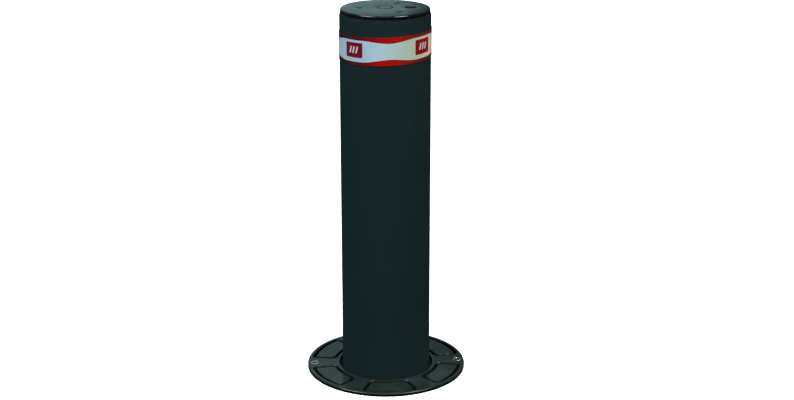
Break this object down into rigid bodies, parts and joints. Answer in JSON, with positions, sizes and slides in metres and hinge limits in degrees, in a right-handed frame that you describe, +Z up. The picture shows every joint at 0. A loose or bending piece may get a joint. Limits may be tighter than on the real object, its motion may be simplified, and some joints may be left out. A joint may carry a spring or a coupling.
{
  "type": "retractable bollard",
  "caption": "Round steel post that a gas spring lifts out of a buried casing, with a flange at ground level, a reflective band and a key lock in its cap.",
  "frame": {"origin": "on the post's axis at ground level, the plane of the flange's underside", "axes": "+Z up along the post, +X towards the lock and one of the two flange screws"},
  "size_m": [0.2202, 0.222, 1.178],
  "materials": {
    "post_paint": "dark slate powder coat, satin",
    "black_enamel": "gloss black enamel on cast iron",
    "reflective_film": "silver retroreflective film with red wavy edges",
    "zinc": "bright zinc plate",
    "galvanised": "hot-dip galvanised",
    "bright_steel": "ground and polished",
    "cylinder_paint": "black paint, satin",
    "rubber": "black EPDM, matt",
    "nylon": "natural cast nylon",
    "pipe_plastic": "grey PVC drain pipe",
    "brass": "machined"
  },
  "bodies": {
    "casing": {"flange": "black_enamel", "flange_screw_left": "zinc", "flange_screw_right": "zinc", "weld_nut_left": "galvanised", "weld_nut_right": "galvanised", "casing_top_ring": "galvanised", "casing_tube": "galvanised", "casing_bottom_plate": "galvanised", "drain_spigot": "pipe_plastic", "anchor_strap_1": "galvanised", "anchor_strap_2": "galvanised", "anchor_strap_3": "galvanised", "wiper_seal": "rubber", "guide_housing": "galvanised", "guide_bush": "nylon", "upper_buffer": "rubber", "lower_buffer_1": "rubber", "lower_buffer_2": "rubber", "lower_buffer_3": "rubber", "catch_rail": "galvanised", "spring_bottom_clevis": "galvanised", "spring_bottom_pin": "bright_steel", "gas_spring_rod": "bright_steel", "gas_spring_piston": "bright_steel"},
    "post": {"post_tube": "post_paint", "reflective_band": "reflective_film", "head_cap": "black_enamel", "cap_gasket": "rubber", "cap_screw_1": "black_enamel", "cap_screw_2": "black_enamel", "cap_screw_3": "black_enamel", "head_plate": "galvanised", "spring_top_clevis": "galvanised", "spring_top_pin": "bright_steel", "gas_spring_cylinder": "cylinder_paint", "gas_spring_gland": "brass", "lower_plate": "galvanised", "guide_shoe": "nylon", "bolt_guide": "galvanised", "lock_housing": "brass"},
    "lock": {"lock_plug": "brass", "lock_rod": "galvanised", "lock_crank": "galvanised"},
    "bolt": {"latch_bolt": "bright_steel"}
  },
  "joints": [
    {"name": "post_slide", "type": "slide", "parent": "casing", "child": "post", "axis": [0, 0, 1], "range_m": [-0.4735, 0], "stiffness_N_per_m": 158, "springref_m": 1.58},
    {"name": "lock_turn", "type": "hinge", "parent": "post", "child": "lock", "pos_m": [0.0315, 0, 0.4755], "axis": [0, 0, -1], "range_deg": [0, 90]},
    {"name": "bolt_throw", "type": "slide", "parent": "post", "child": "bolt", "axis": [1, 0, 0], "range_m": [0, 0.008]}
  ],
  "couplings": [
    {"joint": "lock_turn", "follows": "bolt_throw", "rad_per_m": 196.35}
  ]
}
